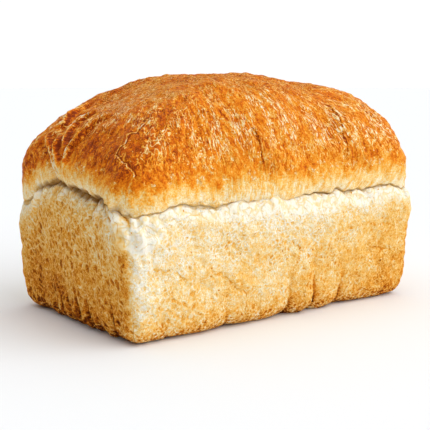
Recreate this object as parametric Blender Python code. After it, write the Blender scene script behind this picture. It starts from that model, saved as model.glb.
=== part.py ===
"""A white tin loaf, 214 mm long at the tin's rim.

The lower part took the shape of a tapered tin. Above the rim the dough rose free and
made a crown. All round the loaf, where the crown parted from the tin, runs the break:
a notch under the crown's lip, with torn pleats of pale dough at its foot. The loaf is
one solid. It starts as a cube cut into a fine grid, and functions of a few named sizes
carry the cube's points to the crust.
"""

import bmesh
import bpy
import numpy as np

MM = 0.001
NODE = "loaf"

# The tin, in metres. The long sides run along X, and Z is up.
HALF_LENGTH = 0.107
HALF_WIDTH = 0.0644
TIN_CORNER = 0.0125
TAPER = 0.0053
BELLY = 0.0015
FOOT_ROUND = 0.0095
SMALLEST_CORNER = 0.003

# The crown, above the break. It peaks right of the middle and leans down to the right.
CROWN_BASE = 0.0796
CROWN_RISE = 0.060
CROWN_CORNER = 0.0215
CROWN_OUT = 0.0006
CROWN_FULLNESS = 2.24
CROWN_SHARPNESS = 1.98
CROWN_SQUEEZE = 0.96
CROWN_SHIFT = 0.019
CROWN_TILT = -0.115
CROWN_SQUARENESS = 0.333

# How square the lip under the crown is. At 2 it would be an ellipse.
LIP_SQUARENESS = 2.7

# The break, at places round the loaf counted in turns. A whole number is a corner: 0 is
# the near left one, 0 to 1 the front, 1 to 2 the right end, 2 to 3 the back and 3 to 4
# the left end. The sizes are in millimetres: the height of the notch's bottom, its
# depth, the height of the rounded shoulder below it and of the lip above it, and how
# far the shoulder swells out.
BREAK = (
    (0.00, 67.0, 2.8, 10.0, 10.0, 0.5),
    (0.07, 68.2, 2.2, 7.0, 10.0, 0.3),
    (0.14, 73.0, 2.2, 8.0, 10.0, 0.3),
    (0.21, 70.6, 2.4, 8.0, 11.0, 0.5),
    (0.35, 70.8, 3.4, 9.0, 12.0, 0.8),
    (0.65, 70.8, 4.4, 10.0, 12.0, 1.0),
    (0.80, 70.4, 4.4, 11.0, 12.0, 1.4),
    (0.91, 71.2, 3.6, 11.0, 12.0, 1.4),
    (1.00, 66.0, 3.0, 11.0, 13.0, 1.4),
    (1.25, 68.5, 4.5, 11.0, 12.0, 1.3),
    (1.55, 73.0, 6.0, 12.0, 11.0, 1.3),
    (1.80, 72.0, 5.5, 11.0, 11.0, 1.3),
    (2.00, 68.5, 3.0, 10.0, 12.0, 1.5),
    (2.25, 71.5, 4.0, 10.0, 12.0, 1.0),
    (2.60, 70.5, 3.2, 9.0, 12.0, 1.0),
    (2.85, 70.0, 4.2, 10.0, 12.0, 1.0),
    (3.00, 63.0, 3.0, 9.0, 14.0, 1.8),
    (3.08, 64.0, 3.2, 9.0, 14.0, 1.5),
    (3.18, 70.6, 4.5, 11.0, 11.0, 1.0),
    (3.28, 76.4, 5.5, 12.0, 10.0, 0.8),
    (3.38, 79.2, 6.5, 13.0, 9.0, 0.8),
    (3.50, 78.7, 8.0, 15.0, 9.0, 0.8),
    (3.62, 76.6, 8.5, 15.0, 9.0, 0.8),
    (3.78, 75.2, 8.0, 14.0, 9.0, 0.8),
    (3.88, 72.0, 6.5, 13.0, 9.0, 0.8),
    (3.95, 69.0, 4.5, 12.0, 9.0, 0.8),
)
NOTCH, DEPTH, SHOULDER, LIP, SWELL = range(1, 6)
SWELL_BELOW_NOTCH = 0.012
SWELL_REACH = 0.009

# The grid: rows up the side, columns along and across, and how much of the crown's
# width the grid on top takes.
ROWS = (("foot", 3), ("wall", 8), ("shoulder", 5), ("lip", 4), ("flank", 8))
COLUMNS_ALONG = 40
COLUMNS_ACROSS = 30
TOP_SCALE = 0.70
ROW_COUNT = sum(count for _, count in ROWS)
NOTCH_ROW = sum(count for _, count in ROWS[:3])
NOTCH_STILL_ROWS = 2

# Pinches between the lobes at the foot, and between the pleats under the break, in
# turns. The front's and the left end's are the real ones, and the rest are drawn.
FOOT_PINCHES = (0.53, 0.62, 0.73, 3.205, 3.32, 3.385, 3.555, 3.65, 3.865)
PLEAT_PINCHES = (3.267, 3.36, 3.44, 3.53, 3.64, 3.733, 3.803, 3.888)
DRAWN_FOOT_PINCHES = ((1.1, 1.9, 6), (2.15, 2.85, 4))
DRAWN_PLEAT_PINCHES = ((1.12, 1.88, 7),)
FOOT_PINCH_DEPTH = 0.0022
FOOT_PINCH_HEIGHT = 0.016
PLEAT_DEPTH = 0.0024
PLEAT_HEIGHT = 0.013
PINCH_WIDTH = 0.0034

# Raised folds that run down the crown's left end, and the two tears in its front, as
# routes in millimetres. A tear's far side stands up over its near side.
FOLDS = (
    ((-68, 39, 123), (-85, 34, 114), (-93, 34, 108), (-101, 30, 97)),
    ((-77, 13, 120), (-84, 22, 115), (-92, 22, 109), (-97, 16, 104), (-101, 10, 99)),
    ((-81, -7, 118), (-92, 1, 109), (-100, 3, 100), (-105, 2, 92), (-105, 1, 86)),
    ((-82, -42, 115), (-91, -40, 109), (-97, -42, 103), (-101, -48, 96), (-99, -58, 90)),
)
TEARS = (
    ((-21, -64, 88), (-22, -63, 97), (-22, -59, 106), (-28, -55, 114)),
    ((44, -64, 90), (46, -62, 99), (45, -56, 110), (42, -47, 121)),
)
FOLD_HEIGHT = 0.0016
FOLD_WIDTH = 0.0042
TEAR_HEIGHT = 0.0014
TEAR_FALL = 0.016

# Broad waves in the crust: wavelength, height and seed.
WAVES = ((0.055, 0.0007, 11), (0.022, 0.00035, 12))
WAVE_COUNT = 24
RELIEF_STARTS = 0.006
SEED = 7

CRUST_COLOUR = (0.79, 0.44, 0.13, 1.0)
CRUST_ROUGHNESS = 0.62
SHARP_ANGLE = np.radians(60)


def outline(p, q, half_length, half_width, corner):
    """Give a point of a round-cornered rectangle.

    (p, q) lies on the edge of the square from -1 to 1, and steps along it keep their
    proportion along each side of the rectangle.
    """
    long_side = np.abs(q) >= np.abs(p)
    along = np.where(long_side, p, q)
    half = np.where(long_side, half_length, half_width)
    far = np.where(long_side, half_width, half_length)
    reach = np.abs(along) * (half - corner + corner * np.pi / 4)
    bend = np.clip(reach - (half - corner), 0, None) / corner
    main = np.minimum(reach, half - corner) + corner * np.sin(bend)
    main = np.sign(along) * main
    cross = np.sign(np.where(long_side, q, p)) * (far - corner + corner * np.cos(bend))
    x, y = np.where(long_side, main, cross), np.where(long_side, cross, main)
    return np.stack([x, y], -1)


def turns_at(p, q):
    """Say how far round the loaf (p, q) lies, from 0 to 4, from the near left corner."""
    edge = 1 - 1e-6
    sides = [q <= -edge, p >= edge, q >= edge]
    places = [(p + 1) / 2, 1 + (q + 1) / 2, 2 + (1 - p) / 2]
    return np.select(sides, places, 3 + (1 - q) / 2)


def break_size(turns, column):
    """Read one of the break's sizes at any place, on a smooth curve that closes."""
    places = np.array([row[0] for row in BREAK])
    sizes = np.array([row[column] for row in BREAK]) * MM
    places = np.concatenate([places - 4, places, places + 4])
    sizes = np.tile(sizes, 3)
    slopes = np.gradient(sizes, places)
    i = np.searchsorted(places, turns, side="right") - 1
    gap = places[i + 1] - places[i]
    t = (turns - places[i]) / gap
    start = (1 + 2 * t) * (1 - t) ** 2 * sizes[i] + t * (1 - t) ** 2 * gap * slopes[i]
    end = t * t * (3 - 2 * t) * sizes[i + 1] + t * t * (t - 1) * gap * slopes[i + 1]
    return start + end


def wall_point(p, q, z, inset=0.0):
    """Give a point of the tin's wall at height z, or one that lies inset behind it."""
    turns = turns_at(p, q)
    notch = break_size(turns, NOTCH)
    share = np.clip(z / notch, 0, 1)
    above_swell = z - (notch - SWELL_BELOW_NOTCH)
    swell = break_size(turns, SWELL) * np.exp(-((above_swell / SWELL_REACH) ** 2))
    out = BELLY * np.sin(np.pi * share) - TAPER * (1 - share) + swell - inset
    corner = np.maximum(TIN_CORNER + out, SMALLEST_CORNER)
    xy = outline(p, q, HALF_LENGTH + out, HALF_WIDTH + out, corner)
    return np.concatenate([xy, (z + 0 * out)[..., None]], -1)


def crown_point(p, q, scale):
    """Give a point of the crown. Its scale falls from 1 at the lip to 0 at the peak."""
    length, width = HALF_LENGTH + CROWN_OUT, HALF_WIDTH + CROWN_OUT
    xy = outline(p, q, length, width, CROWN_CORNER)
    angle = np.arctan2(xy[..., 1] / width, xy[..., 0] / length)
    square = scale**CROWN_SQUARENESS
    x = ((1 - square) * length * np.cos(angle) + square * xy[..., 0]) * scale
    y = (1 - square) * width * np.sin(angle) + square * xy[..., 1]
    x = x + CROWN_SHIFT * (1 - scale**2)
    y = y * scale**CROWN_SQUEEZE
    rise = (1 - scale**CROWN_FULLNESS) ** (1 / CROWN_SHARPNESS)
    z = CROWN_BASE + CROWN_RISE * rise + CROWN_TILT * x * (1 - scale)
    return np.stack([x, y, z], -1)


def quarter_turn(outer, inner, share, squareness=2.0):
    """Go from outer to inner along a quarter ellipse, or a squarer turn, upright first."""
    angle = share[..., None] * np.pi / 2
    across, down = np.cos(angle) ** (2 / squareness), np.sin(angle) ** (2 / squareness)
    xy = inner[..., :2] + (outer - inner)[..., :2] * across
    z = outer[..., 2:] + (inner - outer)[..., 2:] * down
    return np.concatenate([xy, z], -1)


def flank_scale(share, start):
    """Space the flank's rows evenly along its curve, from the lip to the top grid."""
    low = np.arccos(start ** (CROWN_FULLNESS / 2))
    high = np.arccos(TOP_SCALE ** (CROWN_FULLNESS / 2))
    return np.cos(low + share * (high - low)) ** (2 / CROWN_FULLNESS)


def side_point(p, q, row):
    """Give the crust's point at a row of the grid, from the foot up to the crown."""
    ends = np.cumsum([0] + [count for _, count in ROWS])
    share = {
        name: np.clip((row - ends[i]) / count, 0, 1)
        for i, (name, count) in enumerate(ROWS)
    }
    turns = turns_at(p, q)
    notch = break_size(turns, NOTCH)
    shoulder = notch - break_size(turns, SHOULDER)
    lip_top = np.maximum(notch + break_size(turns, LIP), CROWN_BASE)
    lip_rise = (lip_top - CROWN_BASE) / CROWN_RISE
    lip_scale = (1 - lip_rise**CROWN_SHARPNESS) ** (1 / CROWN_FULLNESS)
    bottom_of_notch = wall_point(p, q, notch, break_size(turns, DEPTH))

    foot_angle = share["foot"] * np.pi / 2
    foot_z = FOOT_ROUND * (1 - np.cos(foot_angle))
    places = (
        wall_point(p, q, foot_z, FOOT_ROUND * (1 - np.sin(foot_angle))),
        wall_point(p, q, FOOT_ROUND + share["wall"] * (shoulder - FOOT_ROUND)),
        quarter_turn(wall_point(p, q, shoulder), bottom_of_notch, share["shoulder"]),
        quarter_turn(
            crown_point(p, q, lip_scale), bottom_of_notch, 1 - share["lip"], LIP_SQUARENESS
        ),
        crown_point(p, q, flank_scale(share["flank"], lip_scale)),
    )
    part = np.clip(np.searchsorted(ends, row, side="left") - 1, 0, len(places) - 1)
    return np.stack(places)[part, np.arange(len(row))]


def grid_row(cube):
    """Count a cube point's row of the grid, from 0 at the foot."""
    return (cube[:, 2] + 1) / 2 * ROW_COUNT


def crust_points(cube):
    """Carry the points of a cube from -1 to 1 to the loaf's smooth crust."""
    ring = np.maximum(np.abs(cube[:, 0]), np.abs(cube[:, 1]))
    centre = ring < 1e-6
    p = np.where(centre, 1, cube[:, 0] / np.where(centre, 1, ring))
    q = np.where(centre, 0, cube[:, 1] / np.where(centre, 1, ring))
    side = side_point(p, q, grid_row(cube))
    top = crown_point(p, q, TOP_SCALE * ring)
    base = side * [1, 1, 0] * ring[:, None]
    inner = ring < 1 - 1e-6
    points = np.where((inner & (cube[:, 2] > 0))[:, None], top, side)
    return np.where((inner & (cube[:, 2] < 0))[:, None], base, points)


def waves(points, wavelength, seed):
    """Give smooth random waves at the points, mostly from -1 to 1."""
    draw = np.random.default_rng(seed)
    ways = draw.normal(size=(WAVE_COUNT, 3))
    ways *= 2 * np.pi / wavelength / np.linalg.norm(ways, axis=1, keepdims=True)
    phases = draw.uniform(0, 2 * np.pi, WAVE_COUNT)
    return np.cos(points @ ways.T + phases).sum(1) * np.sqrt(2 / WAVE_COUNT)


def route_distance(points, normals, route):
    """Give the distance over the crust to a route, above zero on its left side."""
    route = np.array(route) * MM
    best = np.full(len(points), np.inf)
    signed = np.zeros(len(points))
    for start, end in zip(route[:-1], route[1:]):
        along = end - start
        t = np.clip((points - start) @ along / (along @ along), 0, 1)
        offset = points - (start + t[:, None] * along)
        distance = np.linalg.norm(offset, axis=1)
        side = np.sign((np.cross(along, offset) * normals).sum(1))
        nearer = distance < best
        best = np.where(nearer, distance, best)
        signed = np.where(nearer, side * distance, signed)
    return signed


def pinches(shown, drawn, seed):
    """Give the shown pinches, and evenly spread ones with a little jitter elsewhere."""
    draw = np.random.default_rng(seed)
    places = list(shown)
    for start, end, count in drawn:
        gap = (end - start) / count
        places += [start + gap * (i + draw.uniform(0.2, 0.8)) for i in range(count)]
    return places


def pinch_depth(turns, places, depth):
    """Give the depth of a row of pinches, the turns taken as lengths along the side."""
    total = np.zeros(len(turns))
    for place in places:
        side_length = 2 * (HALF_LENGTH if int(place) % 2 == 0 else HALF_WIDTH)
        gap = (turns - place) * side_length
        total += depth * np.exp(-((gap / PINCH_WIDTH) ** 2))
    return total


def relief(cube, points, normals):
    """Give how far the crust stands out at each point: waves, pinches, folds, tears."""
    height = sum(size * waves(points, length, seed) for length, size, seed in WAVES)
    height *= np.clip(points[:, 2] / RELIEF_STARTS, 0, 1)
    for route in FOLDS:
        distance = route_distance(points, normals, route)
        height += FOLD_HEIGHT * np.exp(-((distance / FOLD_WIDTH) ** 2))
    for route in TEARS:
        distance = route_distance(points, normals, route)
        height += TEAR_HEIGHT * (distance < 0) * np.exp(distance / TEAR_FALL)
    on_side = np.maximum(np.abs(cube[:, 0]), np.abs(cube[:, 1])) > 1 - 1e-6
    turns = turns_at(cube[:, 0], cube[:, 1])
    foot = pinches(FOOT_PINCHES, DRAWN_FOOT_PINCHES, SEED)
    fade = np.exp(-((points[:, 2] / FOOT_PINCH_HEIGHT) ** 2))
    height -= on_side * fade * pinch_depth(turns, foot, FOOT_PINCH_DEPTH)
    pleats = pinches(PLEAT_PINCHES, DRAWN_PLEAT_PINCHES, SEED + 1)
    below = (break_size(turns, NOTCH) - points[:, 2]) / PLEAT_HEIGHT
    fade = (below > -0.05) * np.exp(-(below**2))
    height -= on_side * fade * pinch_depth(turns, pleats, PLEAT_DEPTH)
    rows_from_notch = np.abs(grid_row(cube) - NOTCH_ROW)
    return height * np.clip((rows_from_notch - 1) / NOTCH_STILL_ROWS, 0, 1)


def cut_cube():
    """Make a cube from -1 to 1, cut into the loaf's columns and rows."""
    mesh = bmesh.new()
    bmesh.ops.create_cube(mesh, size=2)
    for axis, pieces in enumerate((COLUMNS_ALONG, COLUMNS_ACROSS, ROW_COUNT)):
        edges = [e for e in mesh.edges if abs(e.verts[0].co[axis] - e.verts[1].co[axis]) > 1]
        bmesh.ops.subdivide_edges(mesh, edges=edges, cuts=pieces - 1, use_grid_fill=True)
    return mesh


def move_points(mesh, points):
    """Put the mesh's points at these places."""
    for vertex, point in zip(mesh.verts, points):
        vertex.co = point
    mesh.normal_update()


def make_loaf():
    """Shape the cut cube into the loaf, raise its relief and make its base one face."""
    mesh = cut_cube()
    cube = np.array([v.co[:] for v in mesh.verts])
    points = crust_points(cube)
    move_points(mesh, points)
    normals = np.array([v.normal[:] for v in mesh.verts])
    on_base = cube[:, 2] < -1 + 1e-6
    normals[on_base, 2] = 0
    points += relief(cube, points, normals)[:, None] * normals
    points[on_base, 2] = 0
    move_points(mesh, points)
    base = [f for f in mesh.faces if all(v.co.z == 0 for v in f.verts)]
    bmesh.ops.dissolve_faces(mesh, faces=base, use_verts=True)
    data = bpy.data.meshes.new(NODE)
    mesh.to_mesh(data)
    mesh.free()
    data.shade_smooth()
    data.set_sharp_from_angle(angle=SHARP_ANGLE)
    return bpy.data.objects.new(NODE, data)


def crust_material():
    """Make the golden brown of a baked crust."""
    material = bpy.data.materials.new("baked crust")
    material.use_nodes = True
    shader = material.node_tree.nodes["Principled BSDF"]
    shader.inputs["Base Color"].default_value = CRUST_COLOUR
    shader.inputs["Roughness"].default_value = CRUST_ROUGHNESS
    shader.inputs["Metallic"].default_value = 0.0
    return material


def main():
    """Clear the scene and put the loaf in its collection."""
    for old in list(bpy.data.objects):
        bpy.data.objects.remove(old, do_unlink=True)
    collection = bpy.data.collections.new("tin loaf")
    bpy.context.scene.collection.children.link(collection)
    loaf = make_loaf()
    loaf.data.materials.append(crust_material())
    collection.objects.link(loaf)


main()
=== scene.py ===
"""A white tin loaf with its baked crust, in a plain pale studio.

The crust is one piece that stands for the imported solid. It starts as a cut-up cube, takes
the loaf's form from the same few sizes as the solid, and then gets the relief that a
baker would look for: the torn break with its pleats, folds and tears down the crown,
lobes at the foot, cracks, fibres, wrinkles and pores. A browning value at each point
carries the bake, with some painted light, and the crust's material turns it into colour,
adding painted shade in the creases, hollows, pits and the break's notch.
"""

import math

import bmesh
import bpy
import numpy as np
from bpy.props import CollectionProperty, FloatProperty, FloatVectorProperty, PointerProperty
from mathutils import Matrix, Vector


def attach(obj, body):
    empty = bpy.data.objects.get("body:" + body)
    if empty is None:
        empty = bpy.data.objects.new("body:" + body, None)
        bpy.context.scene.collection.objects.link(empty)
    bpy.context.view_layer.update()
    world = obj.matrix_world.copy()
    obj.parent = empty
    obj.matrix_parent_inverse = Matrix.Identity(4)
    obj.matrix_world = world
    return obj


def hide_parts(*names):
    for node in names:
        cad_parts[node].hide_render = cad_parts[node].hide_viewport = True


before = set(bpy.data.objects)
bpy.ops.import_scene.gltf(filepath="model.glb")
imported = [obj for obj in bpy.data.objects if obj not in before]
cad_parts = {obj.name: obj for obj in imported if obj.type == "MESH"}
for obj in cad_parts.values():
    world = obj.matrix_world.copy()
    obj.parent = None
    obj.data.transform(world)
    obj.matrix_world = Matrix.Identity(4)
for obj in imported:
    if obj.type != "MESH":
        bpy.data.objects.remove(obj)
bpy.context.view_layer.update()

bl_info = {
    "name": "Tin Loaf",
    "version": (1, 0, 0),
    "blender": (4, 5, 0),
    "location": "View3D > Sidebar > Tin Loaf",
    "description": "Bakes a white tin loaf and sets up its studio",
    "category": "Add Mesh",
}

MM = 0.001
NODE = "loaf"
BODY = "root"
PIECE = "tin_loaf_crust"

# The break, at places round the loaf counted in turns. A whole number is a corner: 0 is
# the near left one, 0 to 1 the front, 1 to 2 the right end, 2 to 3 the back and 3 to 4
# the left end. The sizes are in millimetres: the height of the notch's bottom, its
# depth, the height of the rounded shoulder below it and of the lip above it, and how
# far the shoulder swells out.
BREAK = (
    (0.00, 69.2, 2.8, 10.0, 10.0, 0.5),
    (0.07, 69.6, 2.2, 7.0, 10.0, 0.3),
    (0.14, 73.0, 2.2, 8.0, 10.0, 0.3),
    (0.21, 70.6, 2.4, 8.0, 11.0, 0.5),
    (0.35, 70.8, 3.4, 9.0, 12.0, 0.8),
    (0.65, 70.8, 4.4, 10.0, 12.0, 1.0),
    (0.80, 70.4, 4.4, 11.0, 12.0, 1.4),
    (0.91, 71.2, 3.6, 11.0, 12.0, 1.0),
    (1.00, 66.0, 3.0, 11.0, 13.0, 0.6),
    (1.25, 68.5, 4.5, 11.0, 12.0, 0.8),
    (1.55, 73.0, 6.0, 12.0, 11.0, 1.3),
    (1.80, 72.0, 5.5, 11.0, 11.0, 1.3),
    (2.00, 68.5, 3.0, 10.0, 12.0, 1.5),
    (2.25, 71.5, 4.0, 10.0, 12.0, 1.0),
    (2.60, 70.5, 3.2, 9.0, 12.0, 1.0),
    (2.85, 70.0, 4.2, 10.0, 12.0, 1.0),
    (3.00, 63.0, 3.0, 9.0, 14.0, 1.8),
    (3.08, 64.0, 3.2, 9.0, 14.0, 1.5),
    (3.18, 70.6, 4.5, 11.0, 11.0, 1.0),
    (3.28, 76.4, 5.5, 12.0, 10.0, 0.8),
    (3.38, 79.2, 6.5, 13.0, 9.0, 0.8),
    (3.50, 78.7, 8.0, 15.0, 9.0, 0.8),
    (3.62, 76.6, 8.5, 15.0, 9.0, 0.8),
    (3.78, 75.2, 8.0, 14.0, 9.0, 0.8),
    (3.88, 72.0, 6.5, 13.0, 9.0, 0.8),
    (3.95, 70.2, 4.5, 12.0, 9.0, 0.8),
)
NOTCH, DEPTH, SHOULDER, LIP, SWELL = range(1, 6)
SWELL_BELOW_NOTCH = 0.012
SWELL_REACH = 0.009

# The crevice at the bottom of the notch, and the turns between which the dough folded
# in most, with how soon that eases off.
CREVICE_DEPTH = 0.0010
VALLEY_DEPTH = 0.0045
VALLEY = (3.25, 3.90)
VALLEY_EASE = 0.07

# The grid: rows up the side, columns along and across, and how much of the crown's
# width the grid on top takes.
ROWS = (("foot", 7), ("wall", 44), ("shoulder", 17), ("lip", 14), ("flank", 36))
ROW_COUNT = sum(count for _, count in ROWS)
NOTCH_ROW = sum(count for _, count in ROWS[:3])
NOTCH_STILL_ROWS = 3
COLUMNS_ALONG = 190
COLUMNS_ACROSS = 112
CUBE_COUNTS = ("Columns Along", "Columns Across", "Rows")
TOP_SCALE = 0.78
ON_EDGE = 1 - 1e-5
BASE_RIM = 0.93

# Waves in the crust: wavelength and height in metres, and seed. Then the lumps of bare
# dough, with their size as a share, the level that counts as no height, how much the
# torn patch and the strip under the break have of them, and that strip's reach.
WAVES = ((0.055, 0.0007, 11), (0.022, 0.00035, 12), (0.009, 0.00022, 13), (0.0045, 0.00010, 14))
DIMPLES = (0.0050, 0.00012, 63)
WAVE_COUNT = 24
LUMPS = ((0.0110, 1.2, 61), (0.0070, 0.3, 62))
LUMP_LEVEL = 1.5
LUMPS_IN_PATCH = 2.2
LUMPS_AT_BREAK = 0.4
BREAK_REACH = 0.009
FOOT_STILL_HEIGHT = 0.006

# The break's ragged line: wavelength, height and seed.
RAGGED = ((0.014, 0.0006, 21), (0.006, 0.0004, 22))

# Pinches between the lobes at the foot, and between the cords that the dough was pleated
# into under the break: turn and strength. These lie where the photograph shows them.
FOOT_PINCHES = (
    (0.53, 0.7), (0.62, 0.9), (0.73, 0.7), (0.09, 0.3), (0.30, 0.35), (3.205, 0.8), (3.32, 1.0),
    (3.385, 1.0), (3.46, 0.4), (3.555, 0.9), (3.65, 1.3), (3.72, 0.3), (3.865, 1.5),
)
PLEAT_PINCHES = (
    (3.18, 0.5), (3.267, 0.9), (3.321, 0.7), (3.36, 0.8), (3.407, 0.9), (3.438, 0.6), (3.5, 1.0),
    (3.531, 0.6), (3.585, 0.4), (3.64, 1.0), (3.69, 0.4), (3.733, 1.0), (3.803, 0.9), (3.85, 0.4),
)

# Pinches where the photograph doesn't show any, drawn at random: the turns from and to,
# and how many. Then the share of its gap that a drawn one may lie at, and its strength.
DRAWN_FOOT_PINCHES = ((1.08, 1.92, 5), (2.1, 2.9, 5))
DRAWN_PLEAT_PINCHES = ((1.1, 1.9, 10),)
DRAWN_PLACE = (0.2, 0.8)
DRAWN_STRENGTH = (0.3, 0.9)

# The width above which a lobe or cord gets no higher, the level of an arch that counts as
# no height, how far they lean, and how far up or down they reach, as form and as painted shade.
WIDEST_ARCH = 0.014
ARCH_LEVEL = 0.8
PLEAT_SLANT = 0.40
LOBE_SLANT = 0.12
CORD_REACH = 0.011
LOBE_REACH = 0.024
CORD_SHADE_REACH = 0.010
LOBE_SHADE_REACH = 0.017

# How deep a pinch nicks the notch's line, and how wide that nick is.
NICK_DEPTH = 0.0012
NICK_WIDTH = 0.0018

# Marks in the crust, as routes in millimetres.
FOLDS = (
    ((-68, 39, 123), (-85, 34.5, 114), (-89, 31.6, 111.3), (-93, 33.7, 107.7)),
    ((-77.5, 13.2, 119.8), (-84, 21.8, 115.4), (-92.1, 21.6, 108.8), (-96.8, 16.1, 104.1),
     (-101, 10.3, 98.7)),
    ((-81, -6.6, 117.7), (-86.9, -0.8, 113.5), (-92.2, 1.2, 109), (-96.8, 2.3, 104.2),
     (-100.2, 3.2, 99.9), (-103.2, 3.1, 95.2), (-105.1, 0.9, 87.9)),
    ((-96.7, 21.6, 104.2), (-100.3, 20.5, 99.7), (-103.3, 16.9, 94.9), (-105.6, 11.2, 90),
     (-105.6, 8.6, 87.3)),
    ((-97.2, 36.2, 103.3), (-101.1, 28, 98.4), (-103.8, 19.6, 94), (-104.2, 9.8, 82.9)),
)
TEARS = (
    ((-21.1, -64.5, 87.7), (-22, -63.7, 92.2), (-21.6, -62.6, 96.7), (-22, -61.2, 101.2),
     (-22.2, -59, 106.4), (-24.3, -56.7, 110.9)),
    ((43.6, -64.1, 90.1), (45, -63, 94.7), (45.8, -61.6, 99.5), (44.7, -59.6, 104.3),
     (45.4, -56.5, 110), (44.6, -52.5, 115.5), (42.5, -47.2, 121.2)),
)
ZIGZAG = (
    (-81.9, -42.8, 115.5), (-86.5, -42.3, 112.5), (-88.7, -43.5, 110.6), (-91.5, -39, 109),
    (-93.1, -42, 107.3), (-95.6, -42.7, 104.7), (-97.2, -41.5, 103.2), (-100.5, -40.8, 99.1),
    (-101.3, -46.7, 97), (-101.5, -49.3, 95.6), (-100.2, -53.2, 94.6), (-100.5, -54.2, 93.2),
    (-99, -57.7, 90.7), (-99.7, -58.2, 88.3), (-100.8, -58.1, 85.8),
)
CORNER_CREVICE = (
    (-103.4, -45.6, 76.5), (-105.3, -54.7, 71.2), (-104.1, -59.1, 66.2), (-103.6, -60.6, 62.3),
)
CORNER_GROOVE = (
    (-103.8, -47.5, 75.7), (-105.7, -41.5, 73.8), (-106.8, -39.9, 71), (-107.3, -41.3, 68.4),
    (-107.6, -46.9, 65), (-107.5, -50.5, 61.3), (-107.3, -51.8, 57.4),
)
CORNER_ROLL = ((-105, -46, 74), (-107, -47, 70), (-106.5, -53, 66), (-106, -56, 61))
BREAK_CRACKS = (
    ((-65.4, -62.7, 71.3), (-60.1, -62.6, 70.8), (-49, -62.9, 70.6)),
    ((-86, -64.5, 65.1), (-77, -64.6, 64.9), (-68.6, -64.5, 66.5), (-57.9, -64.2, 68)),
)
BODY_CRACKS = (
    ((-93.3, -63.7, 41.5), (-87.6, -63.6, 39.7), (-83.1, -63.5, 39.6), (-78.7, -63.4, 38.5),
     (-75.4, -63.2, 35.9), (-71.5, -63, 33.1), (-68, -63, 32.6)),
    ((-54.8, -63.3, 35.6), (-49.1, -63.1, 33.4), (-42.6, -62.6, 28.5), (-35.6, -62.1, 23.4),
     (-31, -61.7, 19.9), (-29.2, -61.3, 16.7), (-29, -60.7, 11.5), (-28.3, -59, 5.6)),
    ((-0.2, -63.8, 44.9), (7, -63.7, 42.4), (9.8, -63.5, 39.4), (12, -63.1, 35)),
    ((-20, -62.5, 27.2), (-17.1, -62.9, 32.1), (-11.1, -62.8, 30.6)),
    ((61.2, -62.9, 33.2), (73.3, -62.9, 33.2), (89, -62.9, 31.4)),
)

# How a route is made jagged, how far it takes to fade in at its ends, and how much of the
# way off the crust's surface isn't counted in the distance from it.
WARP_LENGTH = 0.005
WARP_SIZE = 0.0006
ROUTE_FADE = (-0.001, 0.004)
OFF_SURFACE = 0.7

# Widths of the marks and how far their high sides run out, in metres.
TEAR_RUN = 0.006
TEAR_WIDTH = 0.0010
ZIGZAG_RUN = 0.004
ZIGZAG_SHIFT = 0.001
ZIGZAG_WIDTH = 0.0011
GROOVE_WIDTH = 0.0022
ROLL_WIDTH = 0.0048
CRACK_WIDTH = 0.0011

# The stretch of the crown's middle line that the dough fans out from on its way down,
# and how far out from it a streak is as wide as its pattern. Streaks are drawn out this
# many times.
FAN = (-0.045, -0.012)
FAN_REACH = 0.038
STRETCH = 3

# The bake from 0, bare crumb, to 1, the darkest crust: of the wall by how far it lies
# below the break, what the foot adds to it by its height above the base, and of the
# crown by how far it lies above the break, all in millimetres.
WALL_BAKE = (
    (0, 0.10), (3, 0.03), (6.5, 0.08), (10, 0.19), (15, 0.26), (25, 0.33), (40, 0.38), (60, 0.41),
)
FOOT_BAKE = ((0, 0.30), (3, 0.20), (8, 0.08), (16, 0.00))
CROWN_BAKE = (
    (0, 0.12), (4, 0.20), (8, 0.28), (12, 0.44), (18, 0.60), (25, 0.67), (36, 0.65), (46, 0.66),
    (60, 0.74),
)

# Places where the bake differs, and one of painted light: centre and reach in millimetres, and by
# how much.
BAKE_AND_PAINTED_LIGHT_PATCHES = (
    ((-50, -30, 131), (26, 22, 12), -0.05),
    ((-12, -43, 127), (20, 14, 12), -0.08),
    ((-95, -45, 98), (16, 22, 20), 0.04),
    ((-80, -63, 45), (22, 10, 12), -0.08),
    ((-107, 40, 14), (10, 40, 22), 0.12),
    ((-107, -57, 38), (4, 4, 20), 0.22),
    # Painted light: paler on the front beside the near left corner, where its rounding turns from
    # the light.
    ((-101, -63, 26), (8, 5, 26), -0.20),
    ((-60, -64, 60), (26, 8, 6), 0.07),
    ((-80, -64, 14), (26, 8, 14), -0.04),
    ((60, -63, 25), (30, 8, 16), 0.05),
    ((-107, -48, 62), (5, 16, 12), -0.10),
    ((-107, 22, 62), (6, 14, 8), 0.06),
)

# What bakes more than the middle of the front does, and by how much. The left end's share is
# partly painted warm bounce light in its shade.
MORE_BAKE_AND_PAINTED_LIGHT = {
    "right half": 0.07,
    "right end": 0.10,
    "left wall": 0.17,
    # Partly more bake, partly painted warm bounce light over the shaded left end.
    "left end": 0.06,
    "left crown": 0.12,
    "left rim": 0.05,
    "far edges": 0.10,
    "base": 0.20,
}

# Pale flecks on the crown: how many there are anywhere, and patches that have more.
FLECKS = 0.25
FLECK_PATCHES = (
    ((-10, -60, 106), (9, 10, 12), 0.34),
    ((52, -48, 114), (12, 14, 14), 0.30),
    ((-62, -58, 100), (22, 14, 14), 0.18),
    ((-60, 0, 128), (26, 24, 12), 0.20),
)

# The torn patch of bare dough, the part of the front that is pitted like an end, with how
# much, and the part of the crown that sinks: centre and reach in millimetres.
FLUFFY_PATCH = ((-99, -61, 59), (13, 13, 13))
PITTED_PATCH = ((-76, -63, 18), (34, 8, 18))
PITTED_SHARE = 0.8
LEFT_SHOULDER = ((-58, -15, 125), (26, 60, 18))

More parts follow.
